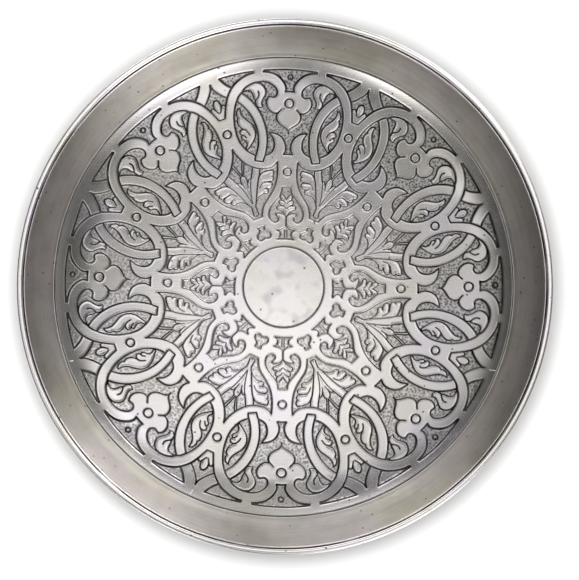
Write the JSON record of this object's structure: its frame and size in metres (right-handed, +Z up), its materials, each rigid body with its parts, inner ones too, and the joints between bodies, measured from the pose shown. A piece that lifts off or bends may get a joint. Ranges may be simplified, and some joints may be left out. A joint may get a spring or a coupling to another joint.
{
  "type": "pedestal bowl",
  "caption": "Shallow round pewter bowl with a cast strapwork relief on its floor and a beaded rim, raised on a turned stem with a knop and a flared foot.",
  "frame": {"origin": "centre of the foot's base, on the table", "axes": "+Z up along the axis of the bowl; the ornament repeats every 45 degrees round it"},
  "size_m": [0.23, 0.23, 0.1],
  "materials": {
    "pewter_wall": "hand-burnished pewter, satin, with fine turning lines and a soft dark patina",
    "pewter_relief": "cast pewter relief, rubbed bright on the straps, dark stippled ground",
    "pewter_polished": "polished pewter",
    "pewter_turned": "turned pewter, satin, with dark patina in the hollows",
    "plated_steel": "plated steel fixings"
  },
  "bodies": {
    "root": {"relief_disc": "pewter_relief", "bowl_wall": "pewter_wall", "centre_roundel": "pewter_polished", "rim_bead": "pewter_polished", "bowl_collar": "pewter_turned", "upper_stem": "pewter_turned", "knop": "pewter_turned", "lower_stem": "pewter_turned", "foot": "pewter_turned", "foot_rim": "pewter_turned", "tie_stud": "plated_steel", "pressure_washer": "plated_steel", "spring_washer": "plated_steel", "tie_nut": "plated_steel"}
  },
  "joints": []
}
